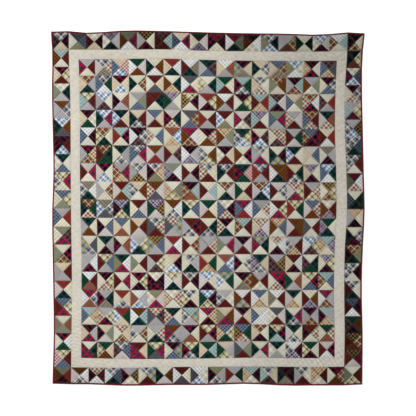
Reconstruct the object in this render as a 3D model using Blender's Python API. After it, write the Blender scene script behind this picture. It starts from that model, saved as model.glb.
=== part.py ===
# Patchwork quilt, laid out flat, face up.
# Hourglass blocks in the centre, a narrow plain border, an outer border of the same blocks, and a binding.
# Metres. +X runs across the quilt, +Y up to its top edge, +Z up from the surface that it lies on.
import bmesh
import bpy
import numpy as np
from mathutils import Matrix

# Driving dimensions
BLOCK_WIDTH = 0.1185      # one hourglass block, across the quilt
BLOCK_HEIGHT = 0.122      # one hourglass block, up the quilt
COLUMNS = 15              # blocks across the centre
ROWS = 17                 # blocks up the centre
PLAIN_WIDTH = 0.0615      # plain border, seam to seam
PIECED_WIDTH = 0.119      # outer border of blocks, seam to seam
BINDING_WIDTH = 0.010     # binding, seam to outer fold
GAP = 0.0003              # between one sewn piece and the next
SEAM_HEIGHT = 0.0030      # cloth, filling and cloth pressed flat by a line of stitches
PATCH_RISE = 0.0034       # how far a patch stands above its seams
PATCH_SLOPE = 0.012       # from a seam to the flat top of a patch
BORDER_RISE = 0.0026      # the same rise in the plain border
DRAWN_IN = 0.033          # how much the blocks close up towards the borders
LOFT_SWING = 0.12         # how much thicker or thinner the filling lies from place to place

# Distances of the seams from the quilt's middle
FIELD_X = COLUMNS * BLOCK_WIDTH / 2
FIELD_Y = ROWS * BLOCK_HEIGHT / 2
PLAIN_X = FIELD_X + PLAIN_WIDTH
PLAIN_Y = FIELD_Y + PLAIN_WIDTH
PIECED_X = PLAIN_X + PIECED_WIDTH
PIECED_Y = PLAIN_Y + PIECED_WIDTH
EDGE_X = PIECED_X + BINDING_WIDTH
EDGE_Y = PIECED_Y + BINDING_WIDTH

# How far each upright seam lies to the right of its regular place, in millimetres, at heights on the quilt.
UPRIGHT_LINES = (-EDGE_X, -PIECED_X, -PLAIN_X, -FIELD_X, FIELD_X, PLAIN_X, PIECED_X, EDGE_X)
UPRIGHT_SHIFT = np.array([
    # height  edge  pieced  plain  field  field  plain  pieced  edge
    [-1.222,    2,     2,     3,    12,    -4,     0,      0,     0],
    [-0.860,   11,    11,     6,    13,    -2,     6,      2,     2],
    [-0.581,    8,     8,    10,    14,    -7,     3,     -4,    -4],
    [-0.303,    3,     3,     7,    14,    -2,     6,      2,     2],
    [-0.024,    0,     0,     3,     7,    11,    22,     16,    16],
    [0.254,     9,     9,     1,     3,     9,    18,     10,    10],
    [0.532,     4,     4,     0,     3,     0,     7,      4,     4],
    [0.811,    -2,    -2,    -3,     0,     4,     6,     -2,    -2],
    [1.089,     0,     0,   -13,    -7,    15,    24,      3,     3],
    [1.228,    -9,    -9,   -13,    -8,    17,    27,     19,    19],
])

# How far each level seam lies above its regular place, in millimetres, at places across the quilt.
LEVEL_LINES = (-EDGE_Y, -PIECED_Y, -PLAIN_Y, -FIELD_Y, FIELD_Y, PLAIN_Y, PIECED_Y, EDGE_Y)
LEVEL_SHIFT = np.array([
    # across  edge  pieced  plain  field  field  plain  pieced  edge
    [-1.085,   10,    10,    -3,    -1,     4,     6,      3,     3],
    [-1.010,    6,     6,    -5,    -1,     4,     7,     10,    10],
    [-0.843,    5,     5,    -7,    -3,     3,     7,     -3,    -3],
    [-0.564,   -5,    -5,    -9,   -10,     5,     7,     12,    12],
    [-0.285,    0,     0,    -4,    -9,     6,     9,      8,     8],
    [0.0,       0,     0,    -2,    -6,    -3,    -2,     -1,    -1],
    [0.271,     8,     8,     0,    -1,    -8,    -4,     -7,    -7],
    [0.550,    -4,    -4,    -2,    -4,    -9,    -7,    -10,   -10],
    [0.773,    -3,    -3,    -3,    -4,    -9,    -7,    -17,   -17],
    [0.996,    -1,    -1,    -1,    -2,    -7,     0,     -1,    -1],
    [1.090,     5,     5,     0,    -2,    -7,     2,    -10,   -10],
])

# The binding's upper side, from its seam to its outer fold: share of the width, height.
BINDING_PROFILE = ((0.0, 0.0030), (0.22, 0.0052), (0.55, 0.0060), (0.84, 0.0050), (1.0, 0.0026))
BINDING_TUCK = 0.0012     # how far the outer fold rolls under, at the surface

# Which way a border piece runs, and which way is outwards from the quilt's middle.
SIDES = {
    "left": ((0, 1), (-1, 0)),
    "right": ((0, 1), (1, 0)),
    "top": ((1, 0), (0, 1)),
    "bottom": ((1, 0), (0, -1)),
}

# Each kind of piece: colour, roughness
CLOTHS = {
    "centre_patchwork": ((0.29, 0.26, 0.23), 0.90),
    "pieced_border": ((0.22, 0.19, 0.17), 0.90),
    "plain_border": ((0.62, 0.59, 0.51), 0.88),
    "binding": ((0.12, 0.012, 0.02), 0.85),
}


def smooth(stations, values, at):
    """A smooth curve through (station, value), read at other places: a cubic on each stretch."""
    slope = np.gradient(values, stations, axis=0)
    i = np.clip(np.searchsorted(stations, at) - 1, 0, len(stations) - 2)
    step = stations[i + 1] - stations[i]
    t = np.clip((at - stations[i]) / step, 0.0, 1.0)
    start = (1 + 2 * t) * (1 - t) ** 2 * values[i] + t * (1 - t) ** 2 * step * slope[i]
    return start + t * t * (3 - 2 * t) * values[i + 1] + t * t * (t - 1) * step * slope[i + 1]


def block_lines(count, half):
    """The seams between count blocks from -half to half: wider in the middle, closer near the borders."""
    u = np.linspace(-1.0, 1.0, count + 1)
    return half * (u * (1 + DRAWN_IN) - DRAWN_IN * u ** 3)


# Where the seams between blocks cross each long seam
FIELD_ACROSS = block_lines(COLUMNS, FIELD_X)
FIELD_UP = block_lines(ROWS, FIELD_Y)
BORDER_ACROSS = np.concatenate(([-PIECED_X], block_lines(COLUMNS + 1, PLAIN_X), [PIECED_X]))
BORDER_UP = np.concatenate(([-PIECED_Y], block_lines(ROWS + 1, PLAIN_Y), [PIECED_Y]))
UPRIGHT_KNOTS = (BORDER_UP, BORDER_UP, BORDER_UP, FIELD_UP, FIELD_UP, BORDER_UP, BORDER_UP, BORDER_UP)


def between_lines(lines, shifts, at):
    """The shift at a place between two seams, from the shift of each: shifts has a row for each seam."""
    i = np.clip(np.searchsorted(lines, at) - 1, 0, len(lines) - 2)
    t = np.clip((at - np.take(lines, i)) / (np.take(lines, i + 1) - np.take(lines, i)), 0.0, 1.0)
    point = np.arange(len(at))
    return (1 - t) * shifts[i, point] + t * shifts[i + 1, point]


def level_shift(x, y):
    """How far points of the regular layout lie above their places."""
    shifts = [smooth(LEVEL_SHIFT[:, 0], LEVEL_SHIFT[:, k], x) for k in range(1, LEVEL_SHIFT.shape[1])]
    return between_lines(LEVEL_LINES, np.array(shifts) / 1000, y)


def lie(x, y):
    """Moves points of the regular layout to where they lie, with every seam as wavy as it is."""
    new_y = y + level_shift(x, y)
    shifts = []
    for k, (line, knots) in enumerate(zip(UPRIGHT_LINES, UPRIGHT_KNOTS), start=1):
        # A seam is straight between two blocks' corners, so the pieces on its two sides keep their gap.
        corners = knots + level_shift(np.full(len(knots), line), knots)
        shifts.append(np.interp(new_y, corners, smooth(UPRIGHT_SHIFT[:, 0], UPRIGHT_SHIFT[:, k], corners)))
    return x + between_lines(UPRIGHT_LINES, np.array(shifts) / 1000, x), new_y


def loft(x, y):
    """How thick the filling lies at a place, about 1: long shallow swells across the quilt."""
    swell = np.sin(5.1 * x + 2.2 * y + 0.4) + np.sin(3.3 * y - 4.4 * x + 1.9) + np.sin(8.7 * y + 1.3 * x)
    return 1 + LOFT_SWING * swell / 3


def sheet_of_blocks(across, up):
    """A flat sheet of one face a block, its seams at the given places across and up."""
    bm = bmesh.new()
    columns = len(across) - 1
    rows = len(up) - 1
    unit = Matrix.Translation((columns / 2, rows / 2, 0)) @ Matrix.Diagonal((columns, rows, 1, 1))
    bmesh.ops.create_grid(bm, x_segments=columns, y_segments=rows, size=0.5, matrix=unit)
    for vert in bm.verts:
        vert.co.x = across[round(vert.co.x)]
        vert.co.y = up[round(vert.co.y)]
    return bm


def sheet_of_zigzag(inner, outer, inner_at, outer_at):
    """A flat strip of triangles between corners along its two long sides."""
    bm = bmesh.new()
    inside = [(along, inner_at) for along in inner]
    outside = [(along, outer_at) for along in outer]
    longer, shorter = (inside, outside) if len(inside) > len(outside) else (outside, inside)
    zigzag = [point for pair in zip(longer, shorter) for point in pair] + [longer[-1]]
    verts = [bm.verts.new((along, out, 0)) for along, out in zigzag]
    for triple in zip(verts, verts[1:], verts[2:]):
        bm.faces.new(triple)
    return bm


def thicken(bm, height):
    """Closes a flat sheet into a slab on the surface, and returns the slab's upper faces."""
    bmesh.ops.recalc_face_normals(bm, faces=bm.faces[:])
    raised = bmesh.ops.extrude_face_region(bm, geom=bm.faces[:], use_keep_orig=True)["geom"]
    verts = [part for part in raised if isinstance(part, bmesh.types.BMVert)]
    bmesh.ops.translate(bm, verts=verts, vec=(0, 0, height))
    upper = [part for part in raised if isinstance(part, bmesh.types.BMFace)]
    bmesh.ops.recalc_face_normals(bm, faces=bm.faces[:])
    return upper


def quilt_patches(bm, patches, rise):
    """Puffs each patch up between its seams, to a flat top a little in from them."""
    bmesh.ops.inset_individual(bm, faces=patches, thickness=PATCH_SLOPE, depth=rise, use_even_offset=True)


def turn_to_side(bm, side):
    """Turns a strip drawn as (along, outwards) to the side of the quilt that it is sewn to."""
    along, outwards = SIDES[side]
    for vert in bm.verts:
        a, out, z = vert.co
        vert.co = (a * along[0] + out * outwards[0], a * along[1] + out * outwards[1], z)


def finish_piece(bm, name, cloth):
    """Lays a piece out as it lies, faces outwards, and makes its object in the quilt's collection."""
    x, y, z = np.array([vert.co for vert in bm.verts]).T
    z = z * loft(x, y)
    x, y = lie(x, y)
    for vert, place in zip(bm.verts, zip(x, y, z)):
        vert.co = place
    if bm.calc_volume(signed=True) < 0:
        bmesh.ops.reverse_faces(bm, faces=bm.faces[:])
    mesh = bpy.data.meshes.new(name)
    bm.to_mesh(mesh)
    bm.free()
    piece = bpy.data.objects.new(name, mesh)
    piece.data.materials.append(MATERIALS[cloth])
    QUILT.objects.link(piece)
    return piece


def cloth_material(name, colour, roughness):
    material = bpy.data.materials.new(name)
    material.use_nodes = True
    shader = material.node_tree.nodes["Principled BSDF"]
    shader.inputs["Base Color"].default_value = (*colour, 1.0)
    shader.inputs["Roughness"].default_value = roughness
    shader.inputs["Metallic"].default_value = 0.0
    return material


def trimmed(places, trim=GAP / 2):
    """The same places, with the first and last drawn in by half the gap between pieces."""
    places = np.array(places, dtype=float)
    places[0] += trim
    places[-1] -= trim
    return places


def make_centre():
    """The centre of hourglass blocks: each block is poked into its four triangles."""
    bm = sheet_of_blocks(trimmed(FIELD_ACROSS), trimmed(FIELD_UP))
    blocks = thicken(bm, SEAM_HEIGHT)
    patches = bmesh.ops.poke(bm, faces=blocks)["faces"]
    quilt_patches(bm, patches, PATCH_RISE)
    return finish_piece(bm, "centre_patchwork", "centre_patchwork")


def make_plain_border(side):
    """One strip of plain cloth, quilted in a zigzag from the centre's corners to the outer blocks' corners."""
    if side in ("left", "right"):
        inner = FIELD_UP
        outer = np.concatenate(([-FIELD_Y], BORDER_UP[2:-2], [FIELD_Y]))
        inner_at = FIELD_X
        outer_at = PLAIN_X
    else:
        inner = np.concatenate(([-PLAIN_X], FIELD_ACROSS, [PLAIN_X]))
        outer = BORDER_ACROSS[1:-1]
        inner_at = FIELD_Y
        outer_at = PLAIN_Y
    bm = sheet_of_zigzag(trimmed(inner), trimmed(outer), inner_at + GAP / 2, outer_at - GAP / 2)
    quilt_patches(bm, thicken(bm, SEAM_HEIGHT), BORDER_RISE)
    turn_to_side(bm, side)
    return finish_piece(bm, f"plain_border_{side}", "plain_border")


def make_pieced_border(side):
    """One row of hourglass blocks. The side rows are sewn first, then the top and bottom with the corners."""
    if side in ("left", "right"):
        along = BORDER_UP[1:-1]
        outwards = (PLAIN_X, PIECED_X)
    else:
        along = BORDER_ACROSS
        outwards = (PLAIN_Y, PIECED_Y)
    bm = sheet_of_blocks(trimmed(along), trimmed(outwards))
    blocks = thicken(bm, SEAM_HEIGHT)
    patches = bmesh.ops.poke(bm, faces=blocks)["faces"]
    quilt_patches(bm, patches, PATCH_RISE)
    turn_to_side(bm, side)
    return finish_piece(bm, f"pieced_border_{side}", "pieced_border")


def make_binding(side):
    """One folded strip round the edge, rounded above, rolled under outside, and mitred at both ends."""
    along, seam = (BORDER_UP, PIECED_X) if side in ("left", "right") else (BORDER_ACROSS, PIECED_Y)
    shares = np.array([share for share, _ in BINDING_PROFILE])
    heights = np.array([height for _, height in BINDING_PROFILE])
    bm = sheet_of_blocks(np.arange(len(along)), shares)
    upper = thicken(bm, 1.0)
    on_top = {vert for face in upper for vert in face.verts}
    width = BINDING_WIDTH - GAP / 2
    for vert in bm.verts:
        station = round(vert.co.x)
        share = vert.co.y
        # The first and last stations slant out to the quilt's corner.
        end = (station == len(along) - 1) - (station == 0)
        reach = end * (share * BINDING_WIDTH - GAP / 2)
        tuck = 0.0 if vert in on_top else BINDING_TUCK * (share == shares[-1])
        height = float(np.interp(share, shares, heights)) if vert in on_top else 0.0
        vert.co = (along[station] + reach - end * tuck, seam + GAP / 2 + share * width - tuck, height)
    turn_to_side(bm, side)
    return finish_piece(bm, f"binding_{side}", "binding")


def centre_on_origin(pieces):
    """Moves the whole quilt so that the middle of its outline is over the origin."""
    points = np.array([vert.co for piece in pieces for vert in piece.data.vertices])
    middle = (points.min(axis=0) + points.max(axis=0)) / 2
    for piece in pieces:
        piece.data.transform(Matrix.Translation((-middle[0], -middle[1], 0)))


for thing in list(bpy.data.objects):
    bpy.data.objects.remove(thing, do_unlink=True)
QUILT = bpy.data.collections.new("patchwork_quilt")
bpy.context.scene.collection.children.link(QUILT)
MATERIALS = {name: cloth_material(name, *look) for name, look in CLOTHS.items()}

quilt_pieces = [make_centre()]
for quilt_side in SIDES:
    quilt_pieces.append(make_plain_border(quilt_side))
    quilt_pieces.append(make_pieced_border(quilt_side))
    quilt_pieces.append(make_binding(quilt_side))
centre_on_origin(quilt_pieces)
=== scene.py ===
import math

import bmesh
import bpy
import numpy as np
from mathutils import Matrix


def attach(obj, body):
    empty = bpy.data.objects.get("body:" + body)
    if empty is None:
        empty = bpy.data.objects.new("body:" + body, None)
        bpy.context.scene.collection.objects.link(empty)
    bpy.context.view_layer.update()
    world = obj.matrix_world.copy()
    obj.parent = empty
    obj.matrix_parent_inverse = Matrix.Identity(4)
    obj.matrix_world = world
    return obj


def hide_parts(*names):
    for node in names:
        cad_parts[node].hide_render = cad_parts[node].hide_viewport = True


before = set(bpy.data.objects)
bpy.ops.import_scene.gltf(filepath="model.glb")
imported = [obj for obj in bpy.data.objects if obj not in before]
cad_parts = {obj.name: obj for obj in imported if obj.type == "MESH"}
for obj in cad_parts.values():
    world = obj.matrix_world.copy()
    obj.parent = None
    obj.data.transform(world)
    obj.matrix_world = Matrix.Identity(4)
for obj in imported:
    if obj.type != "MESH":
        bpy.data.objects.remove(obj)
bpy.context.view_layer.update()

# Studio.
# The quilt lies face up on a plain white floor, under one broad soft light from the upper left and an even
# white sky. The camera looks straight down, as in the photograph, from far enough to keep the edges square.
PHOTO_PIXELS = 416
METRES_PER_PIXEL = 0.00696
QUILT_AT_PIXEL = (207.8, 208.0)
LENS_MM = 85.0
SENSOR_MM = 36.0
CAMERA_REACH = 200.0          # how far away the camera still sees the floor
SOFTBOX_PLACE = (-7.0, 8.0, 10.0)
SOFTBOX_SIZE = 6.0
SOFTBOX_WATTS = 1650.0
SKY_STRENGTH = 0.86
FLOOR_HALF = 40.0
FLOOR_WHITE = (0.96, 0.96, 0.96, 1.0)
FLOOR_ROUGHNESS = 0.9


def hang_light(name, place, size, power):
    """A square soft light at a place, turned to shine at the middle of the floor: tilted by the angle whose
    tangent is its distance along the floor over its height, then turned to face the middle."""
    lamp = bpy.data.lights.new(name, "AREA")
    lamp.shape = "SQUARE"
    lamp.size = size
    lamp.energy = power
    light = bpy.data.objects.new(name, lamp)
    light.location = place
    far = math.hypot(place[0], place[1])
    light.rotation_euler = (math.atan2(far, place[2]), 0.0, math.atan2(place[0], -place[1]))
    bpy.context.scene.collection.objects.link(light)


camera_data = bpy.data.cameras.new("camera")
camera_data.lens = LENS_MM
camera_data.sensor_width = SENSOR_MM
camera_data.clip_end = CAMERA_REACH
view_width = PHOTO_PIXELS * METRES_PER_PIXEL
camera = bpy.data.objects.new("camera", camera_data)
camera.location = (
    (PHOTO_PIXELS / 2 - QUILT_AT_PIXEL[0]) * METRES_PER_PIXEL,
    (QUILT_AT_PIXEL[1] - PHOTO_PIXELS / 2) * METRES_PER_PIXEL,
    view_width * LENS_MM / SENSOR_MM,
)
bpy.context.scene.collection.objects.link(camera)
bpy.context.scene.camera = camera
bpy.context.scene.view_settings.view_transform = "Standard"

sky = bpy.data.worlds.new("studio_sky")
sky.use_nodes = True
sky_shader = sky.node_tree.nodes["Background"]
sky_shader.inputs["Color"].default_value = (1.0, 1.0, 1.0, 1.0)
sky_shader.inputs["Strength"].default_value = SKY_STRENGTH
bpy.context.scene.world = sky
hang_light("softbox", SOFTBOX_PLACE, SOFTBOX_SIZE, SOFTBOX_WATTS)

floor_mesh = bpy.data.meshes.new("floor")
floor_corners = [(-FLOOR_HALF, -FLOOR_HALF, 0), (FLOOR_HALF, -FLOOR_HALF, 0),
                 (FLOOR_HALF, FLOOR_HALF, 0), (-FLOOR_HALF, FLOOR_HALF, 0)]
floor_mesh.from_pydata(floor_corners, [], [(0, 1, 2, 3)])
floor = bpy.data.objects.new("floor", floor_mesh)
floor_paint = bpy.data.materials.new("floor_white")
floor_paint.use_nodes = True
floor_shader = floor_paint.node_tree.nodes["Principled BSDF"]
floor_shader.inputs["Base Color"].default_value = FLOOR_WHITE
floor_shader.inputs["Roughness"].default_value = FLOOR_ROUGHNESS
floor_mesh.materials.append(floor_paint)
bpy.context.scene.collection.objects.link(floor)

# Centre of hourglass blocks.
# Fifteen by seventeen blocks, each sewn from four triangles of woven cotton, two dark and two light, and sewn
# row by row. The triangles are cut with the yarns along their short sides, and puff up between the seams.
COLUMNS = 15
ROWS = 17
SEAM_HEIGHT = 0.0030          # where a seam presses the filling flat
PATCH_RISE = 0.0042           # how far a patch stands above its seams
RISE_SPREAD = (0.86, 1.12)    # the least and the most that one patch has of its rise
STITCH_IN = 0.00635           # the quilting runs a quarter inch inside each seam
STITCH_DENT = 0.0009          # how deep it draws the cloth down
DENT_SPREAD = 0.0016          # and how far from the stitches it still does
RINGS_IN = np.array([0.0, 0.0015, 0.0043, STITCH_IN, 0.0085, 0.0125, 0.018])    # in from the seam
MIDDLE_IN = 0.024             # about as far in as the patch's middle is, for its stitch map
DEEPEST_RING = 0.86           # the last ring's place on the way to the middle, at most
ROUNDED = 0.6                 # how much the rings turn into circles towards the middle
POINTS_A_SIDE = 10
JOIN_WITHIN = 0.00002         # points nearer than this are one

PIECING_TURN = math.radians(2.5)    # how far a triangle may be cut off the grain
CUT_ALONG = 0.2               # how far along the cloth's bands a triangle may be cut
TONE_SPREAD = 0.03            # how much one scrap is darker or paler than another of its cloth
# Painted shade: the patches are painted darker towards the right side and near the top and bottom edges
RIGHT_SHADE_FROM = -0.2       # across the quilt: the painted shade starts here and is whole a metre further
EDGE_SHADE_FROM = 0.8         # up or down from the middle
EDGE_SHADE_OVER = 0.35
RIGHT_SHADE, TOP_SHADE, BOTTOM_SHADE = 0.20, 0.11, 0.07
TOP_RIGHT_MORE = 0.3          # how much stronger the right side's painted shade is, for each metre up

# How high the filling lies: long swells and short lumps, and how much of each
# each row: radians a metre across, radians a metre up, start
SWELLS = ((5.1, 2.2, 0.4), (-4.4, 3.3, 1.9), (1.3, 8.7, 0.0))
LUMPS = ((61, 23, 0.0), (-37, 48, 2.0), (14, 83, 0.7))
SWELL_SHARE = 0.04
LUMP_SHARE = 0.025

# The woven cotton's finish, and its colour and relief. Lengths and heights are in metres, scales and rates are
# by the metre, and what is called shade, soil, depth or share is a share of the brightness or of the second
# colour.
COTTON_FINISH = {"Roughness": 0.88, "Specular IOR Level": 0.03, "Sheen Weight": 0.012, "Sheen Roughness": 0.5}
WHITE_COMES_OUT = 1.25        # how bright a white face comes out in this light, where 1 is the picture's white
YARN_PITCH = 0.0009
UPPER_YARN = 0.28             # how far the colour swings to the yarn on top
YARN_RELIEF = 0.00003
EVEN_TONE = 0.67              # what the next three depths are added to
FADING_SCALE, FADING_DEPTH = 7.0, 0.16
# the creases are painted darker in their hollows and paler on their ridges, as painted shade and soil
CREASE_SCALE, CREASE_DETAIL, CREASE_SHADE_AND_SOIL = 38.0, 3.0, 0.36
STREAKS_ACROSS, STREAKS_UP, STREAK_DEPTH = 900.0, 50.0, 0.14
DITCH_FADES = 900.0           # how fast the painted shade and soil in a seam's ditch end
# the colour of the painted shade and soil in a seam's ditch
DITCH_SHADE_AND_SOIL = (0.42, 0.38, 0.34, 1)
FOLD_IN = 0.0022              # where the turned-in edge lies under the cloth, beside the seam
FOLD_WIDTH = 0.0012
RUB_SCALE, RUB_SHARE = 90.0, 0.05
PALE_THREAD = (206, 198, 174)
THREAD_WIDTH = 0.0006
THREAD_SHARE = 0.25
THREAD_RELIEF = 0.0002
STITCH_PITCH = 0.0046         # one stitch and the space after it
STITCH_SHARE = 0.6            # the stitch's part of that
PUCKER_RATE = 620.0
PUCKER_FADES = 210.0          # how fast the puckers end, away from the seam
PUCKER_WANDER_SCALE, PUCKER_WANDER = 30.0, 9.0
VARIED_ROUGHNESS = (0.80, 0.14)    # the least, and what fading adds

# Yarns: name, colour in the picture
YARNS = {
    "ecru": (216, 210, 189), "sand": (112, 102, 76), "cream": (219, 215, 199), "stone": (114, 110, 92),
    "milk": (226, 226, 222), "pearl": (140, 143, 148), "tan": (211, 197, 172), "peach": (112, 92, 72),
    "celery": (206, 205, 182), "lichen": (108, 112, 82), "blush": (209, 201, 194), "rose": (88, 42, 56),
    "fog": (166, 163, 160), "ash": (92, 90, 92), "aqua": (164, 185, 181), "mist": (90, 118, 116),
    "olive": (84, 76, 22), "khaki": (134, 118, 84), "burgundy": (92, 32, 28), "soot": (10, 5, 5),
    "brick": (138, 50, 44), "rosewood": (54, 10, 11), "garnet": (128, 18, 38), "black": (3, 3, 6),
    "ink": (10, 7, 18), "navy": (13, 20, 60), "forest": (16, 66, 42), "pine": (23, 74, 54),
    "bottle": (3, 20, 16), "brown": (122, 68, 27), "coffee": (12, 7, 4), "magenta": (156, 20, 76),
    "teal": (46, 62, 66), "plum": (22, 10, 32), "crimson": (150, 12, 34), "denim": (34, 60, 92),
    "chambray": (166, 176, 186), "indigo": (6, 14, 32), "sage": (130, 136, 114), "moss": (40, 46, 34),
    "slate": (82, 83, 90), "iron": (36, 37, 45), "lilac": (92, 78, 98), "straw": (228, 208, 160),
    "gold": (176, 142, 86), "copper": (176, 92, 50), "leaf": (44, 96, 64), "fern": (92, 134, 100),
    "sky": (66, 114, 156), "cobalt": (24, 42, 108), "violet": (84, 20, 60), "lime": (158, 165, 112),
    "lagoon": (50, 124, 128), "wisteria": (148, 136, 164), "rust": (138, 22, 22),
    "backing": (214, 206, 186),
}

# Cloths: share of the dark triangles, share of the light ones, bands of yarn up, bands of yarn across.
# A band is a yarn and its width in millimetres, and the bands repeat. None: the same bands both ways.
CLOTHS = {
    "ecru_check": (0.3, 12, (("ecru", 9), ("sand", 4), ("ecru", 13), ("sand", 3)), (("ecru", 15), ("sand", 4))),
    "cream_stripe": (0.3, 12, (("cream", 8), ("stone", 6)), (("cream", 8),)),
    "milk_check": (0.3, 10, (("milk", 12), ("pearl", 6)), None),
    "tan_check": (0.3, 8, (("tan", 8), ("peach", 3), ("tan", 11), ("peach", 4)), (("tan", 13), ("peach", 4))),
    "celery_stripe": (0.3, 7, (("celery", 8), ("lichen", 6)), (("celery", 9), ("cream", 8))),
    "blush_pinstripe": (0.3, 9, (("blush", 10), ("rose", 4)), (("blush", 11), ("pearl", 6))),
    "cream_windowpane": (0.3, 5, (("cream", 20), ("khaki", 5), ("cream", 6), ("ash", 5)), None),
    "fog_chambray": (1.2, 4.5, (("fog", 9), ("ash", 6)), (("fog", 10), ("pearl", 4))),
    "aqua_check": (0.6, 3.5, (("aqua", 11), ("mist", 7)), None),
    "olive_madras": (2, 8, (("celery", 14), ("olive", 13), ("straw", 5), ("khaki", 4)), None),
    "burgundy_check": (17, 0.6, (("burgundy", 10), ("rosewood", 8)),
                       (("burgundy", 9), ("soot", 6), ("burgundy", 8))),
    "brick_check": (4, 0.4, (("brick", 8), ("rosewood", 6)), (("brick", 9), ("burgundy", 6))),
    "green_navy_tartan": (12, 0.6, (("forest", 13), ("black", 8), ("navy", 8), ("black", 6)), None),
    "pine_check": (7, 0.5, (("pine", 10), ("bottle", 9)), None),
    "brown_ticking": (5.5, 0.5, (("brown", 9), ("coffee", 9)), (("brown", 9), ("coffee", 6))),
    "magenta_plaid": (7, 0.8, (("magenta", 12), ("plum", 6), ("teal", 8), ("plum", 5), ("crimson", 7)), None),
    "navy_red_plaid": (6, 0.5, (("ink", 10), ("crimson", 9), ("navy", 9), ("black", 9)), None),
    "ink_stripe": (12, 0.5, (("ink", 8), ("garnet", 8), ("black", 8), ("indigo", 6)),
                   (("ink", 9), ("plum", 9))),
    "denim_check": (9, 1, (("denim", 12), ("chambray", 4)), (("denim", 10), ("chambray", 3), ("indigo", 6))),
    "sage_check": (3.5, 1.5, (("sage", 9), ("moss", 6)), (("sage", 9),)),
    "slate_chambray": (2.5, 0.8, (("slate", 10), ("iron", 7)), (("slate", 9),)),
    "navy_madras": (6, 5, (("navy", 14), ("fog", 6), ("cream", 9), ("black", 7), ("chambray", 5)), None),
    "lilac_gingham": (3, 7, (("lilac", 8), ("milk", 6), ("plum", 7), ("milk", 5)), None),
    "straw_tartan": (5, 3.5, (("straw", 6), ("black", 8), ("crimson", 8), ("leaf", 7), ("black", 5)), None),
    "gold_pane_check": (2.5, 2, (("straw", 9), ("pine", 7), ("cream", 6), ("copper", 8), ("moss", 5)), None),
    "rust_plaid": (4, 4, (("cream", 10), ("rust", 14), ("blush", 6), ("fern", 8), ("brown", 6)), None),
    "black_gold_check": (1.2, 0.2, (("black", 13), ("gold", 7)), None),
    "red_tan_stripe": (3, 0.3, (("rust", 11), ("straw", 3)), (("rosewood", 8),)),
    "sky_plaid": (2.5, 4, (("sky", 14), ("milk", 12), ("denim", 7), ("milk", 7)), (("sky", 19), ("milk", 13))),
    "pastel_madras": (0.8, 1.2, (("lime", 9), ("gold", 9), ("moss", 6), ("lagoon", 9), ("wisteria", 7)), None),
    "cobalt_plaid": (2, 0.8, (("cobalt", 12), ("milk", 5), ("navy", 10), ("milk", 3), ("crimson", 5)), None),
    "violet_plaid": (4.5, 0.6, (("violet", 11), ("moss", 7), ("plum", 9), ("khaki", 4)), None),
    "red_gingham": (1, 0.3, (("crimson", 9), ("blush", 8)), None),
    "slate_tan_check": (2, 1.2, (("iron", 10), ("khaki", 8), ("indigo", 6)), (("iron", 8), ("tan", 6))),
    "khaki_twill": (0.8, 0.6, (("khaki", 9), ("olive", 9)), (("sage", 8),)),
}


def cloth_colour(red, green, blue):
    """A cloth's own colour from the 0 to 255 values that it has in the picture: its linear light divided by
    how bright white comes out."""
    display = np.array([red, green, blue]) / 255.0
    linear = np.where(display <= 0.04045, display / 12.92, ((display + 0.055) / 1.055) ** 2.4)
    return (*(linear / WHITE_COMES_OUT).tolist(), 1.0)


def feed(tree, socket, value):
    """Gives a socket a number or a colour, or joins another step's result to it."""
    if isinstance(value, bpy.types.NodeSocket):
        tree.links.new(value, socket)
    else:
        socket.default_value = value


def number(tree, operation, *values):
    """One step of arithmetic in a material: each value is a number or another step's result."""
    node = tree.nodes.new("ShaderNodeMath")
    node.operation = operation
    for socket, value in zip(node.inputs, values):
        feed(tree, socket, value)
    return node.outputs[0]


def blend(tree, kind, share, first, second):
    """One step of colour in a material: the share of the second colour laid over the first."""
    node = tree.nodes.new("ShaderNodeMix")
    node.data_type = "RGBA"
    node.blend_type = kind
    for socket, value in ((node.inputs[0], share), (node.inputs[6], first), (node.inputs[7], second)):
        feed(tree, socket, value)
    return node.outputs[2]


def uv_numbers(tree, layer):
    """The two numbers of one of the piece's own maps."""
    source = tree.nodes.new("ShaderNodeUVMap")
    source.uv_map = layer
    split = tree.nodes.new("ShaderNodeSeparateXYZ")
    tree.links.new(source.outputs[0], split.inputs[0])
    return split.outputs[0], split.outputs[1]


def clouds(tree, place, scale, detail=2.0):
    """Soft noise from 0 to 1 at a place."""
    node = tree.nodes.new("ShaderNodeTexNoise")
    node.inputs["Scale"].default_value = scale
    node.inputs["Detail"].default_value = detail
    tree.links.new(place, node.inputs["Vector"])
    return node.outputs[0]


def banded_yarns(tree, across, bands):
    """The colour of the yarns at a distance across them: the distance over the bands' repeat, its whole part
    dropped, looked up in the bands, with no blur from one band to the next."""
    repeat = sum(width for _, width in bands)
    ramp = tree.nodes.new("ShaderNodeValToRGB")
    ramp.color_ramp.interpolation = "CONSTANT"
    stops = ramp.color_ramp.elements
    while len(stops) < len(bands):
        stops.new(0.5)
    while len(stops) > len(bands):
        stops.remove(stops[-1])
    start = 0.0
    for stop, (yarn, width) in zip(stops, bands):
        stop.position = start / repeat
        stop.color = cloth_colour(*YARNS[yarn])
        start += width
    share = number(tree, "FRACT", number(tree, "DIVIDE", across, repeat / 1000))
    tree.links.new(share, ramp.inputs[0])
    return ramp.outputs[0]


def sewn_thread(tree, along, inwards):
    """1 on a quilting stitch and 0 off it: less than half a thread from the stitched line, and in the first
    part of a stitch's pitch."""
    beside = number(tree, "ABSOLUTE", number(tree, "SUBTRACT", inwards, STITCH_IN))
    on_line = number(tree, "LESS_THAN", beside, THREAD_WIDTH / 2)
    pitch = number(tree, "FRACT", number(tree, "DIVIDE", along, STITCH_PITCH))
    return number(tree, "MULTIPLY", on_line, number(tree, "LESS_THAN", pitch, STITCH_SHARE))


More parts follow.
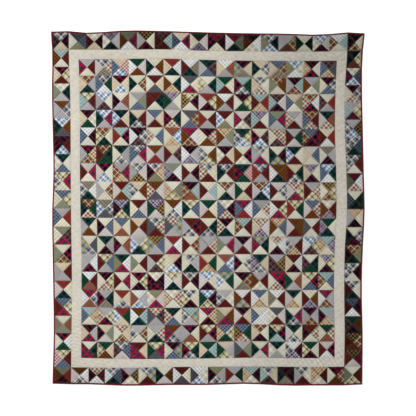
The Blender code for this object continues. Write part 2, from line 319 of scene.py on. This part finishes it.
def woven_cotton(name, up_bands, across_bands, thread=PALE_THREAD, shade_and_soil_in_ditch=0.3, creased=0.0032, puckered=0.0005,
                 varied_roughness=False):
    """Woven cotton. Colour: the yarns up and across, half and half, swinging to one or the other where it lies
    on top; times slow fading, painted shade and soil in the hollows of the creases, streaks along the yarns
    and the patch's own tone, which carries painted shade too; darkened by painted shade and soil in the ditch
    of the seams, rubbed pale on the fold beside them, and the quilting thread, half sunk into the cloth.
    Relief: the yarns over and under, puckers across the stitched lines, soft creases, and the thread."""
    material = bpy.data.materials.new(name)
    material.use_nodes = True
    tree = material.node_tree
    shader = tree.nodes["Principled BSDF"]
    for socket, amount in COTTON_FINISH.items():
        shader.inputs[socket].default_value = amount
    across, up = uv_numbers(tree, "cloth")
    along, inwards = uv_numbers(tree, "stitch")
    place = tree.nodes.new("ShaderNodeTexCoord").outputs["Object"]
    yarns_across = number(tree, "SINE", number(tree, "MULTIPLY", across, 2 * math.pi / YARN_PITCH))
    yarns_up = number(tree, "SINE", number(tree, "MULTIPLY", up, 2 * math.pi / YARN_PITCH))
    over = number(tree, "MULTIPLY", yarns_across, yarns_up)
    stitches = sewn_thread(tree, along, inwards)
    # The colour of the cloth
    on_top = number(tree, "MULTIPLY_ADD", over, UPPER_YARN, 0.5)
    upright = banded_yarns(tree, across, up_bands)
    level = banded_yarns(tree, up, across_bands or up_bands)
    colour = blend(tree, "MIX", on_top, upright, level)
    slow_fading = clouds(tree, place, FADING_SCALE)
    creasing = clouds(tree, place, CREASE_SCALE, CREASE_DETAIL)
    streaks = tree.nodes.new("ShaderNodeCombineXYZ")
    tree.links.new(number(tree, "MULTIPLY", across, STREAKS_ACROSS), streaks.inputs[0])
    tree.links.new(number(tree, "MULTIPLY", up, STREAKS_UP), streaks.inputs[1])
    slubs = clouds(tree, streaks.outputs[0], 1.0)
    tone = tree.nodes.new("ShaderNodeAttribute")
    tone.attribute_name = "tone"
    value = number(tree, "MULTIPLY_ADD", slow_fading, FADING_DEPTH, EVEN_TONE)
    # Painted shade and soil: darker in the hollows of the creases, paler on their ridges
    value = number(tree, "MULTIPLY_ADD", creasing, CREASE_SHADE_AND_SOIL, value)
    value = number(tree, "MULTIPLY_ADD", slubs, STREAK_DEPTH, value)
    value = number(tree, "ADD", value, tone.outputs["Fac"])
    shade = tree.nodes.new("ShaderNodeHueSaturation")
    tree.links.new(value, shade.inputs["Value"])
    tree.links.new(colour, shade.inputs["Color"])
    # Painted shade and soil in the ditch of the seams
    ditch = number(tree, "EXPONENT", number(tree, "MULTIPLY", inwards, -DITCH_FADES))
    ditch = number(tree, "MULTIPLY", ditch, shade_and_soil_in_ditch)
    colour = blend(tree, "MULTIPLY", ditch, shade.outputs[0], DITCH_SHADE_AND_SOIL)
    fold = number(tree, "DIVIDE", number(tree, "SUBTRACT", inwards, FOLD_IN), FOLD_WIDTH)
    fold = number(tree, "EXPONENT", number(tree, "MULTIPLY", number(tree, "MULTIPLY", fold, fold), -1.0))
    rubbed = number(tree, "MULTIPLY", clouds(tree, place, RUB_SCALE), RUB_SHARE)
    colour = blend(tree, "MIX", number(tree, "MULTIPLY", fold, rubbed), colour, cloth_colour(*PALE_THREAD))
    colour = blend(tree, "MIX", number(tree, "MULTIPLY", stitches, THREAD_SHARE), colour, cloth_colour(*thread))
    tree.links.new(colour, shader.inputs["Base Color"])
    # The relief of the cloth, in metres
    creases = number(tree, "MULTIPLY", creasing, creased)
    wander = clouds(tree, place, PUCKER_WANDER_SCALE)
    ripple = number(tree, "MULTIPLY_ADD", wander, PUCKER_WANDER, number(tree, "MULTIPLY", along, PUCKER_RATE))
    held = number(tree, "EXPONENT", number(tree, "MULTIPLY", inwards, -PUCKER_FADES))
    puckers = number(tree, "MULTIPLY", number(tree, "SINE", ripple), number(tree, "MULTIPLY", held, puckered))
    height = number(tree, "MULTIPLY_ADD", over, YARN_RELIEF, number(tree, "ADD", creases, puckers))
    height = number(tree, "MULTIPLY_ADD", stitches, THREAD_RELIEF, height)
    bump = tree.nodes.new("ShaderNodeBump")
    bump.inputs["Strength"].default_value = 1.0
    bump.inputs["Distance"].default_value = 1.0
    tree.links.new(height, bump.inputs["Height"])
    tree.links.new(bump.outputs[0], shader.inputs["Normal"])
    if varied_roughness:
        least, added = VARIED_ROUGHNESS
        roughness = number(tree, "MULTIPLY_ADD", slow_fading, added, least)
        tree.links.new(roughness, shader.inputs["Roughness"])
    return material


def places(items, kind):
    """Where a mesh's points lie, by "co", or the middles of its faces, by "center", as rows of x, y and z."""
    found = np.empty(len(items) * 3)
    items.foreach_get(kind, found)
    return found.reshape(-1, 3)


def seam_points(node):
    """Where the seams of a piece's solid meet: its points about as high as the seams, each of them once, to
    a tenth of a millimetre."""
    points = places(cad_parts[node].data.vertices, "co")
    near = abs(points[:, 2] - SEAM_HEIGHT) < SEAM_HEIGHT / 2
    return np.unique(points[near].round(4)[:, :2], axis=0)


def block_corners(node, in_a_row):
    """The corners of a piece's blocks, in rows from the bottom up, each from left to right: the seam points
    sorted up, where a row of corners and a shorter row of the blocks' middles take turns."""
    seams = seam_points(node)
    seams = seams[np.argsort(seams[:, 1])]
    both_rows = 2 * in_a_row - 1
    first = np.arange(0, len(seams), both_rows)[:, None]
    rows = seams[first + np.arange(in_a_row)]
    return np.take_along_axis(rows, np.argsort(rows[:, :, 0], axis=1)[:, :, None], axis=1)


def hourglass_triangles(corners):
    """The four triangles of each block, bottom, right, top and left: two corners and the block's middle."""
    around = np.stack([corners[:-1, :-1], corners[:-1, 1:], corners[1:, 1:], corners[1:, :-1]], axis=2)
    around = around.reshape(-1, 4, 2)
    middle = np.broadcast_to(around.mean(axis=1, keepdims=True), around.shape)
    return np.stack([around, np.roll(around, -1, axis=1), middle], axis=2).reshape(-1, 3, 2)


def sines(x, y, rows):
    """The sum of sines over the quilt: for each row, the sine of its two rates times x and y plus its start."""
    return sum(np.sin(by_x * x + by_y * y + start) for by_x, by_y, start in rows)


def filling(x, y):
    """How high the filling lifts the cloth at a place, as a share: 1, and its part of the long swells and of
    the short lumps."""
    return 1 + SWELL_SHARE * sines(x, y, SWELLS) + LUMP_SHARE * sines(x, y, LUMPS)


def puffed_patch(triangles, rises, a_side):
    """The surface of a patch, over s round its outline, with a_side points a side, and d in from its seam.
    Plan: the outline's point drawn towards the triangle's incentre by d over the inradius, so that the ring
    stays d from each side, and turned step by step from a triangle into a circle as it nears the middle.
    Height: the seam's, plus the rise times one minus the square of what is left of the way in, less a dent
    along the quilting, all times the filling's share at that place.
    Gives the rings, then the middle point, as (patch, point, xyz), and the lengths of the sides."""
    sides = np.roll(triangles, -1, axis=1) - triangles
    lengths = np.linalg.norm(sides, axis=2)
    opposite = np.roll(lengths, -1, axis=1)
    incentre = (triangles * opposite[:, :, None]).sum(axis=1) / opposite.sum(axis=1)[:, None]
    doubled_area = sides[:, 0, 0] * sides[:, 1, 1] - sides[:, 0, 1] * sides[:, 1, 0]
    inradius = doubled_area / lengths.sum(axis=1)
    side, step = np.divmod(np.arange(3 * a_side), a_side)
    outline = triangles[:, side] + sides[:, side] * (step / a_side)[None, :, None]
    spoke = outline - incentre[:, None]
    way_in = np.minimum(RINGS_IN[None, :] / inradius[:, None], DEEPEST_RING)
    left = (1 - way_in)[:, :, None, None]
    circle = spoke / np.linalg.norm(spoke, axis=2, keepdims=True) * inradius[:, None, None]
    roundness = (ROUNDED * way_in ** 1.5)[:, :, None, None]
    plan = incentre[:, None, None] + left * ((1 - roundness) * spoke[:, None] + roundness * circle[:, None])
    dent = STITCH_DENT * np.exp(-((RINGS_IN - STITCH_IN) / DENT_SPREAD) ** 2)[None, :]
    height = SEAM_HEIGHT + rises[:, None] * (1 - (1 - way_in) ** 2) - dent * (RINGS_IN > 0)
    rings = np.concatenate([plan, np.broadcast_to(height[:, :, None, None], plan.shape[:3] + (1,))], axis=3)
    top = np.concatenate([incentre, (SEAM_HEIGHT + rises)[:, None]], axis=1)
    points = np.concatenate([rings.reshape(len(triangles), -1, 3), top[:, None]], axis=1)
    points[:, :, 2] *= filling(points[:, :, 0], points[:, :, 1])
    return points, lengths


def draw_cloths(rng, rows, columns, slips=0.0, darker=0.0):
    """Which cloth each triangle is cut from, by a rule and not a chart: blocks turn by turn have their dark
    cloths left and right or top and bottom, a pair is two unlike cloths, and each is drawn by its share.
    slips is how often a block turns as its neighbour does, and darker how often a light one is dark too.
    A pair is turned round where a patch would else lie beside one of its own cloth."""
    dark = np.array([row[0] for row in CLOTHS.values()]) / sum(row[0] for row in CLOTHS.values())
    light = np.array([row[1] for row in CLOTHS.values()]) / sum(row[1] for row in CLOTHS.values())
    light = light * (1 - darker) + dark * darker
    slipped = np.cumsum(rng.random(rows * columns) < slips)
    picked = []
    for block in range(rows * columns):
        pair_dark = rng.choice(len(CLOTHS), 2, replace=False, p=dark)
        pair_light = rng.choice(len(CLOTHS), 2, replace=False, p=light)
        turn = (block // columns + block % columns + slipped[block]) % 2
        upright = pair_dark if turn else pair_light
        level = pair_light if turn else pair_dark
        if block % columns and level[1] == picked[4 * (block - 1) + 1]:
            level = level[::-1]
        if block >= columns and upright[0] == picked[4 * (block - columns) + 2]:
            upright = upright[::-1]
        picked += [upright[0], level[0], upright[1], level[1]]
    return np.array(picked)


def painted_side_shade(triangles):
    """Painted shade: how much darker each patch is painted than on the left, as a share: a smooth step from the
    middle to the right side, larger at the top, and smaller ones near the top and the bottom edge."""
    x, y = triangles.mean(axis=1).T
    ways = np.clip([x - RIGHT_SHADE_FROM, (y - EDGE_SHADE_FROM) / EDGE_SHADE_OVER,
                    (-y - EDGE_SHADE_FROM) / EDGE_SHADE_OVER], 0, 1)
    right, top, bottom = ways * ways * (3 - 2 * ways)
    return -RIGHT_SHADE * right * (1 + TOP_RIGHT_MORE * y) - TOP_SHADE * top - BOTTOM_SHADE * bottom


def scrap_cuts(rng, count):
    """How each triangle is cut from its cloth: its turn, half a right angle to the block and a little off the
    grain, and how far along the bands it starts."""
    off_grain = rng.uniform(-PIECING_TURN, PIECING_TURN, count)
    turn = math.pi / 4 + off_grain + rng.integers(0, 2, count) * math.pi / 2
    return np.column_stack([turn, rng.uniform(0, CUT_ALONG, (count, 2))])


def quilted_piece(name, triangles, outer_sides, cloths, materials, rises, cuts, tones, cells=None,
                  a_side=POINTS_A_SIDE):
    """Makes one closed piece of puffed patches: their tops, a flat underside, and a wall down from each side
    that lies on the piece's rim. outer_sides says so for each side of each triangle. rises, cuts and tones
    give each patch its height, its cut and its shade. cells gives how many blocks lie side by side in the
    piece's own map, where it has one."""
    count = len(triangles)
    round_it = 3 * a_side
    rings = len(RINGS_IN)
    tops, lengths = puffed_patch(triangles, rises, a_side)
    under = np.concatenate([tops[:, :round_it], tops[:, -1:]], axis=1) * (1, 1, 0)
    points = np.concatenate([tops, under], axis=1)
    first = np.arange(count)[:, None] * points.shape[1]
    here = np.arange(round_it)
    after = (here + 1) % round_it
    ring = np.arange(rings - 1)[:, None] * round_it
    tops_quads = np.stack([ring + here, ring + after, ring + after + round_it, ring + here + round_it], axis=2)
    tops_quads = (first[:, :, None] + tops_quads.reshape(1, -1, 4)).reshape(-1, 4)
    middle = rings * round_it
    caps = np.stack([here + middle - round_it, after + middle - round_it, np.full(round_it, middle)], axis=1)
    caps = (first[:, :, None] + caps[None]).reshape(-1, 3)
    foot = middle + 1
    unders = np.stack([after + foot, here + foot, np.full(round_it, foot + round_it)], axis=1)
    unders = (first[:, :, None] + unders[None]).reshape(-1, 3)
    on_rim = np.repeat(outer_sides, a_side, axis=1)
    walls = np.stack([here + foot, after + foot, after, here], axis=1)
    walls = (first[:, :, None] + walls[None])[on_rim]
    mesh = bpy.data.meshes.new(name)
    faces = tops_quads.tolist() + walls.tolist() + caps.tolist() + unders.tolist()
    mesh.from_pydata(points.reshape(-1, 3), [], faces)
    # Which patch each face belongs to, and whether it is on top
    cap_patch = np.repeat(np.arange(count), round_it)
    face_patch = np.concatenate([np.repeat(cap_patch, rings - 1), np.nonzero(on_rim)[0], cap_patch, cap_patch])
    is_top = np.repeat([True, False, True, False], [len(tops_quads), len(walls), len(caps), len(unders)])
    # The cloth map: metres across the yarns and up them
    cos, sin = np.cos(cuts[:, :1]), np.sin(cuts[:, :1])
    across = points[:, :, 0] * cos - points[:, :, 1] * sin + cuts[:, 1:2]
    up = points[:, :, 0] * sin + points[:, :, 1] * cos + cuts[:, 2:]
    cloth = np.stack([across, up], axis=2).reshape(-1, 2)
    loops = np.concatenate([tops_quads.ravel(), walls.ravel(), caps.ravel(), unders.ravel()])
    mesh.uv_layers.new(name="cloth").uv.foreach_set("vector", cloth[loops].ravel())
    quad_stitch, cap_stitch = stitch_map(lengths, a_side)
    no_stitch = RINGS_IN[-1]
    stitch = np.concatenate([quad_stitch, np.full((walls.size, 2), no_stitch),
                             cap_stitch, np.full((unders.size, 2), no_stitch)])
    mesh.uv_layers.new(name="stitch").uv.foreach_set("vector", stitch.ravel())
    if cells:
        own_map = cell_map(points, loops, face_patch, is_top, len(tops_quads), len(walls), cells)
        mesh.uv_layers.new(name="OFBake").uv.foreach_set("vector", own_map.ravel())
    # Materials: only the cloths that this piece uses, and the backing last
    used, slots = np.unique(cloths, return_inverse=True)
    for cloth_index in used:
        mesh.materials.append(materials[cloth_index])
    mesh.materials.append(backing_cotton)
    mesh.polygons.foreach_set("material_index", np.where(is_top, slots[face_patch], len(used)).astype(np.int32))
    mesh.polygons.foreach_set("use_smooth", is_top)
    tone = mesh.attributes.new("tone", "FLOAT", "FACE")
    tone.data.foreach_set("value", tones[face_patch].astype(np.float32))
    join_points(mesh)
    piece = bpy.data.objects.new(name, mesh)
    bpy.context.scene.collection.objects.link(piece)
    return piece


def stitch_map(lengths, a_side):
    """Where the stitches run on the patches' tops: metres along the side from its middle, and metres in from
    the seam, for the corners of each quad between two rings and of each triangle round the middle."""
    side, step = np.divmod(np.arange(3 * a_side), a_side)
    start = lengths[:, side] * (step / a_side - 0.5)
    end = lengths[:, side] * ((step + 1) / a_side - 0.5)
    each_ring = np.ones((len(lengths), len(RINGS_IN) - 1, 1))
    starts, ends = start[:, None] * each_ring, end[:, None] * each_ring
    outer_in = np.broadcast_to(RINGS_IN[:-1, None], starts.shape)
    inner_in = np.broadcast_to(RINGS_IN[1:, None], starts.shape)
    quad_along = np.stack([starts, ends, ends, starts], axis=3)
    quad_in = np.stack([outer_in, outer_in, inner_in, inner_in], axis=3)
    cap_along = np.stack([start, end, (start + end) / 2], axis=2)
    cap_in = np.broadcast_to([RINGS_IN[-1], RINGS_IN[-1], MIDDLE_IN], cap_along.shape)
    return (np.stack([quad_along, quad_in], axis=4).reshape(-1, 2),
            np.stack([cap_along, cap_in], axis=3).reshape(-1, 2))


CELL_EDGE = 0.02              # the empty edge of a cell of the piece's own map, as a share of the cell
UNDERSIDE_SHARE = 0.8         # how much of its cell's height the underside fills
WALLS_LOW, WALLS_HIGH = 0.88, 0.98


def cell_map(points, loops, face_patch, is_top, quad_count, wall_count, cells):
    """The piece's own map: each block's top fills one cell of a grid of cells, by its share of the block's
    width and height, and the last cell holds the underside, with the walls in a strip above it."""
    wide, tall = cells
    flat = points.reshape(-1, 3)[:, :2]
    blocks = points.reshape(len(points) // 4, -1, 3)[:, :, :2]
    low = blocks.min(axis=1)
    size = blocks.max(axis=1) - low
    corners_of_face = np.where(np.arange(len(face_patch)) < quad_count + wall_count, 4, 3)
    block_of_loop = np.repeat(face_patch // 4, corners_of_face)
    on_top = np.repeat(is_top, corners_of_face)[:, None]
    in_block = (flat[loops] - low[block_of_loop]) / size[block_of_loop]
    in_piece = (flat[loops] - flat.min(axis=0)) / (flat.max(axis=0) - flat.min(axis=0))
    inside = np.where(on_top, in_block, in_piece * (1, UNDERSIDE_SHARE))
    cell = np.stack([block_of_loop % wide, block_of_loop // wide], axis=1)
    cell = np.where(on_top, cell, (wide - 1, tall - 1))
    along = (np.arange(wall_count)[:, None] + (0, 1, 1, 0)) / wall_count
    strip = np.broadcast_to([WALLS_LOW, WALLS_LOW, WALLS_HIGH, WALLS_HIGH], along.shape)
    inside[quad_count * 4:(quad_count + wall_count) * 4] = np.stack([along, strip], axis=2).reshape(-1, 2)
    return (cell + CELL_EDGE + (1 - 2 * CELL_EDGE) * inside) / (wide, tall)


def join_points(mesh):
    """Joins the points that patches share along their seams, so that the piece is one closed skin."""
    bm = bmesh.new()
    bm.from_mesh(mesh)
    bmesh.ops.remove_doubles(bm, verts=bm.verts[:], dist=JOIN_WITHIN)
    bm.to_mesh(mesh)
    bm.free()


def rim_of_blocks(rows, columns):
    """Which sides of the triangles lie on the rim of rows of blocks: the first side of the bottom, right, top
    or left triangle of each block along that edge."""
    rim = np.zeros((rows, columns, 4, 3), dtype=bool)
    rim[0, :, 0, 0] = True
    rim[:, -1, 1, 0] = True
    rim[-1, :, 2, 0] = True
    rim[:, 0, 3, 0] = True
    return rim.reshape(-1, 3)


def lay_down(piece, nodes):
    """Hangs the piece on the quilt's one body, and hides the parts of the solid that it stands for."""
    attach(piece, "root")
    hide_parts(*nodes)


cloth_materials = [woven_cotton(name, row[2], row[3]) for name, row in CLOTHS.items()]
backing_cotton = woven_cotton("backing_cotton", (("backing", 8),), None)

centre_corners = block_corners("centre_patchwork", COLUMNS + 1)
centre_rng = np.random.default_rng(334)
centre_cloths = draw_cloths(centre_rng, ROWS, COLUMNS).reshape(ROWS, -1)
row_patches = 4 * COLUMNS
for row in range(ROWS):
    row_corners = centre_corners[row:row + 2]
    row_triangles = hourglass_triangles(row_corners)
    row_rises = PATCH_RISE * centre_rng.uniform(*RISE_SPREAD, row_patches)
    row_cuts = scrap_cuts(centre_rng, row_patches)
    # Each patch's tone: a random shade of its scrap, and the painted shade towards the right and the edges
    row_tones = centre_rng.normal(0.0, TONE_SPREAD, row_patches) + painted_side_shade(row_triangles)
    row_piece = quilted_piece(
        f"centre_row_{row + 1:02d}", row_triangles, rim_of_blocks(1, COLUMNS), centre_cloths[row],
        cloth_materials, row_rises, row_cuts, row_tones, cells=(4, 4))
    lay_down(row_piece, ["centre_patchwork"])

# Outer border of blocks.
# One row of the same hourglass blocks on each side. The two side rows are sewn to the centre first, and the
# top and bottom rows, with the corner blocks, across their ends. Some blocks turn as their neighbour does.
BLOCK_SLIPS = 0.16            # how often they do
# For each side: how often a light patch is drawn as a dark one, and how much painted shade darkens its dark
# cloths beyond the centre's
BORDER_LOTS = {"left": (0.08, 0.0), "right": (0.42, 0.45), "top": (0.22, 0.45), "bottom": (0.12, 0.35)}
MOSTLY_DARK = np.array([row[0] > 2 * row[1] for row in CLOTHS.values()])
SHADE_ON_LIGHT_CLOTHS = 0.16            # how much of that painted shade the light cloths have too
border_rng = np.random.default_rng(863)
for border_side, (darker, border_shade) in BORDER_LOTS.items():
    in_a_row = 2 if border_side in ("left", "right") else COLUMNS + 4
    border_corners = block_corners(f"pieced_border_{border_side}", in_a_row)
    border_rows, border_columns = len(border_corners) - 1, in_a_row - 1
    border_patches = 4 * border_rows * border_columns
    border_triangles = hourglass_triangles(border_corners)
    border_cloths = draw_cloths(border_rng, border_rows, border_columns, slips=BLOCK_SLIPS, darker=darker)
    # Each patch's tone: a random shade of its scrap, the painted shade towards the right and the edges, and
    # more painted shade on this side, mostly on its dark cloths
    border_tones = border_rng.normal(0.0, TONE_SPREAD, border_patches) + painted_side_shade(border_triangles)
    border_tones -= border_shade * np.where(MOSTLY_DARK[border_cloths], 1.0, SHADE_ON_LIGHT_CLOTHS)
    border_rises = PATCH_RISE * border_rng.uniform(*RISE_SPREAD, border_patches)
    border_cuts = scrap_cuts(border_rng, border_patches)
    border_piece = quilted_piece(
        f"outer_border_{border_side}", border_triangles, rim_of_blocks(border_rows, border_columns),
        border_cloths, cloth_materials, border_rises, border_cuts, border_tones, cells=(5, 4))
    lay_down(border_piece, [f"pieced_border_{border_side}"])

# Plain border.
# Four strips of cream cotton between the centre and the outer blocks. The quilting runs on through it in a
# zigzag, from the corners of the centre's blocks to the corners of the outer ones, and wrinkles the cloth.
PLAIN_RISE = 0.0018
PLAIN_POINTS_A_SIDE = 24      # close enough for its wrinkles
PLAIN_TONE = 0.04             # how much paler it is than its yarns
WRINKLE_SHADE = 30.0            # painted shade: how much darker the cloth is, for each metre that a wrinkle sinks, and paler where it rises
WRINKLE_HEIGHT = 0.0008
GATHERED_HEIGHT = 0.0026      # the same where the quilting has drawn the cloth in most
GATHERED_LEFT = (-0.91, -0.90, 0.09, 0.15)     # that place low on the left: across, up, reach across and up
GATHERED_RIGHT = (0.78, -1.05, 0.24, 0.07)     # and low on the right
# each row: radians a metre across, radians a metre up, start
WRINKLES_ACROSS = ((60, 255, 0.0), (-90, 171, 1.0))
WRINKLES_ASLANT = ((190, 130, 0.0), (120, -150, 2.0))
FINER_SHARE = 0.6             # the second row's share of the first's height
YARNS["border_cream"] = (203, 197, 185)
YARNS["border_cream_dark"] = (195, 189, 175)


def zigzag_triangles(inner, outer):
    """The triangles between two lines of corners, taken in turn from one and the other."""
    longer, shorter = (inner, outer) if len(inner) > len(outer) else (outer, inner)
    zigzag = np.empty((len(inner) + len(outer), 2))
    zigzag[0::2] = longer
    zigzag[1::2] = shorter
    triangles = np.stack([zigzag[:-2], zigzag[1:-1], zigzag[2:]], axis=1)
    clockwise = doubled_areas(triangles) < 0
    triangles[clockwise] = triangles[clockwise][:, ::-1]
    return triangles


def doubled_areas(triangles):
    """Twice the area of each triangle, below 0 where it runs clockwise: the cross product of two sides."""
    one_way = triangles[:, 1] - triangles[:, 0]
    other_way = triangles[:, 2] - triangles[:, 0]
    return one_way[:, 0] * other_way[:, 1] - one_way[:, 1] * other_way[:, 0]


def rim_sides(triangles):
    """Which sides of the triangles no other triangle shares: those whose middle point comes only once."""
    middles = ((triangles + np.roll(triangles, -1, axis=1)) / 2).round(4).reshape(-1, 2)
    _, which, times = np.unique(middles, axis=0, return_inverse=True, return_counts=True)
    return (times[which.ravel()] == 1).reshape(-1, 3)


def two_lines(node, upright):
    """The two long lines of corners of a border strip: its seam points, parted half way across by a cubic
    curve fitted along the strip."""
    points = seam_points(node)
    across, along = (0, 1) if upright else (1, 0)
    order = points[np.argsort(points[:, along])]
    fit = np.polyfit(order[:, along], order[:, across], 3)
    beyond = order[:, across] > np.polyval(fit, order[:, along])
    return order[~beyond], order[beyond]


def gathered(x, y, place):
    """How near a place on the quilt is, from 1 there to 0: a bell over its distance across and up, each as a
    share of the place's reach."""
    place_x, place_y, reach_x, reach_y = place
    return np.exp(-((x - place_x) / reach_x) ** 2 - ((y - place_y) / reach_y) ** 2)


def wrinkles(x, y):
    """How far soft wrinkles lift the plain cloth, in metres: sines across the strips and aslant, a little
    everywhere and more at the two gathered places."""
    across, aslant = (sines(x, y, rows[:1]) + FINER_SHARE * sines(x, y, rows[1:])
                      for rows in (WRINKLES_ACROSS, WRINKLES_ASLANT))
    drawn_in = gathered(x, y, GATHERED_LEFT) * across + gathered(x, y, GATHERED_RIGHT) * aslant
    return GATHERED_HEIGHT * drawn_in + WRINKLE_HEIGHT * (across + aslant)


plain_nodes = [f"plain_border_{side}" for side in BORDER_LOTS]
plain_triangles = np.concatenate([
    zigzag_triangles(*two_lines(node, node.endswith(("left", "right")))) for node in plain_nodes])
plain_count = len(plain_triangles)
plain_cotton = woven_cotton("border_cotton", (("border_cream", 1.5), ("border_cream_dark", 0.5)), None,
                            shade_and_soil_in_ditch=0.16, creased=0.0036, puckered=0.0002, varied_roughness=True)
# The strips' tone carries the painted shade towards the right and the edges
plain_piece = quilted_piece(
    "plain_border", plain_triangles, rim_sides(plain_triangles), np.zeros(plain_count, dtype=int),
    [plain_cotton], PLAIN_RISE * np.random.default_rng(88).uniform(*RISE_SPREAD, plain_count),
    np.zeros((plain_count, 3)), PLAIN_TONE + painted_side_shade(plain_triangles), a_side=PLAIN_POINTS_A_SIDE)
plain_mesh = plain_piece.data
plain_points = places(plain_mesh.vertices, "co")
above_seam = np.clip(plain_points[:, 2] / SEAM_HEIGHT - 1, 0, 1)
plain_points[:, 2] += above_seam * wrinkles(plain_points[:, 0], plain_points[:, 1])
plain_mesh.vertices.foreach_set("co", plain_points.ravel())
plain_mesh.update()
# Painted shade in the hollows of the wrinkles and painted light on their crests, laid on each face's tone
plain_middles = places(plain_mesh.polygons, "center")
plain_tones = np.empty(len(plain_middles), dtype=np.float32)
plain_mesh.attributes["tone"].data.foreach_get("value", plain_tones)
plain_tones += (WRINKLE_SHADE * wrinkles(plain_middles[:, 0], plain_middles[:, 1])).astype(np.float32)
plain_mesh.attributes["tone"].data.foreach_set("value", plain_tones)
lay_down(plain_piece, plain_nodes)

# Binding.
# A narrow strip of dark red cotton folded over the raw edge all round, rounded outside, sewn down along its
# inner edge, and mitred at the corners.
BINDING_WIDTH = 0.010
BINDING_STEPS = 8             # from one corner of a block to the next
# Its section, from the seam over the top and back under: places as shares of the width, and heights
TOP_POINTS = 15
SEWN_PLACE, SEWN_HEIGHT = 0.03, 0.0028
TOP_MIDDLE, TOP_HALF = 0.52, 0.48
TOP_FOOT, TOP_RISE = 0.0026, 0.0034
TOP_FLATTER = 0.8             # a power of the sine, which fills the rounded top out
FOLD_HEIGHT = 0.0016          # the outer fold
TUCKED_PLACE = 0.86           # where it comes to lie on the floor
CLOTH_BETWEEN = 0.0016        # the cloth from one point of the section to the next
FROM_STITCHES = 0.004         # keeps the blocks' quilting off it
YARNS["claret"] = (115, 25, 32)
YARNS["claret_dark"] = (83, 15, 22)


def binding_line():
    """The binding's seam, once round the quilt: the outer corners of the outer blocks, side by side, and for
    each the way out: square to its side, and both ways at a corner."""
    bottom = block_corners("pieced_border_bottom", COLUMNS + 4)[0]
    top = block_corners("pieced_border_top", COLUMNS + 4)[1]
    left = block_corners("pieced_border_left", 2)[:, 0]
    right = block_corners("pieced_border_right", 2)[:, 1]
    sides = [(bottom, (0, -1)), (right, (1, 0)), (top[::-1], (0, 1)), (left[::-1], (-1, 0))]
    line = np.concatenate([points for points, _ in sides])
    out = np.concatenate([np.tile(way, (len(points), 1)) for points, way in sides])
    counts = np.cumsum([0] + [len(points) for points, _ in sides])
    for side, onwards in ((0, (1, 0)), (2, (-1, 0))):
        out[counts[side]] -= onwards
        out[counts[side + 1] - 1] += onwards
    return line, out


def between_corners(values):
    """Values at the corners of a ring, and at even steps on the straight way from each to the next."""
    steps = np.arange(BINDING_STEPS)[None, :, None] / BINDING_STEPS
    return (values[:, None] * (1 - steps) + np.roll(values, -1, axis=0)[:, None] * steps).reshape(-1, 2)


def folded_edge(line, out):
    """The binding's skin, over s along its seam and r round its section.
    Plan: the seam's point plus the way out times the width times a share that goes from 0 to 1 and back.
    Height: from the seam up over a rounded top, down round the outer fold, and back flat along the floor."""
    turn = np.linspace(0, math.pi, TOP_POINTS)
    share = np.concatenate([[SEWN_PLACE], TOP_MIDDLE - TOP_HALF * np.cos(turn), [TUCKED_PLACE, SEWN_PLACE]])
    top = TOP_FOOT + TOP_RISE * np.sin(turn) ** TOP_FLATTER
    height = np.concatenate([[SEWN_HEIGHT], top[:-1], [FOLD_HEIGHT, 0.0, 0.0]])
    reach = between_corners(out)[:, None] * (BINDING_WIDTH * share)[None, :, None]
    plan = between_corners(line)[:, None] + reach
    lift = np.broadcast_to(height[None, :, None], plan.shape[:2] + (1,))
    return np.concatenate([plan, lift], axis=2)


seam_line, ways_out = binding_line()
binding_points = folded_edge(seam_line, ways_out)
binding_points[:, :, 2] *= filling(binding_points[:, :, 0], binding_points[:, :, 1])
stations, section = binding_points.shape[:2]
station, turn = np.meshgrid(np.arange(stations), np.arange(section), indexing="ij")
next_station, next_turn = (station + 1) % stations, (turn + 1) % section
skin = np.stack([station * section + turn, station * section + next_turn,
                 next_station * section + next_turn, next_station * section + turn], axis=2).reshape(-1, 4)
binding_mesh = bpy.data.meshes.new("binding")
binding_mesh.from_pydata(binding_points.reshape(-1, 3), [], skin.tolist())
travelled = np.linalg.norm(np.roll(seam_line, -1, axis=0) - seam_line, axis=1)
travelled = np.concatenate([[0], np.cumsum(travelled)])
distance = np.interp(np.arange(stations + 1) / BINDING_STEPS, np.arange(len(travelled)), travelled)
around = np.arange(section + 1) * CLOTH_BETWEEN
cloth_places = np.stack([
    np.stack([distance[station], around[turn]], axis=2),
    np.stack([distance[station], around[turn + 1]], axis=2),
    np.stack([distance[station + 1], around[turn + 1]], axis=2),
    np.stack([distance[station + 1], around[turn]], axis=2)], axis=2)
stitch_places = cloth_places + (0, FROM_STITCHES)
binding_mesh.uv_layers.new(name="cloth").uv.foreach_set("vector", cloth_places.ravel())
binding_mesh.uv_layers.new(name="stitch").uv.foreach_set("vector", stitch_places.ravel())
binding_mesh.polygons.foreach_set("use_smooth", np.ones(len(skin), dtype=bool))
# The binding's tone: the painted shade towards the right and the edges
binding_tones = np.repeat(painted_side_shade(binding_points[:, :1, :2]), section).astype(np.float32)
binding_mesh.attributes.new("tone", "FLOAT", "FACE").data.foreach_set("value", binding_tones)
binding_cotton = woven_cotton("binding_cotton", (("claret", 2), ("claret_dark", 1)), (("claret", 3),),
                              thread=(96, 24, 36), puckered=0.00008, varied_roughness=True)
binding_mesh.materials.append(binding_cotton)
binding_piece = bpy.data.objects.new("binding", binding_mesh)
bpy.context.scene.collection.objects.link(binding_piece)
binding_nodes = [f"binding_{side}" for side in BORDER_LOTS]
lay_down(binding_piece, binding_nodes)
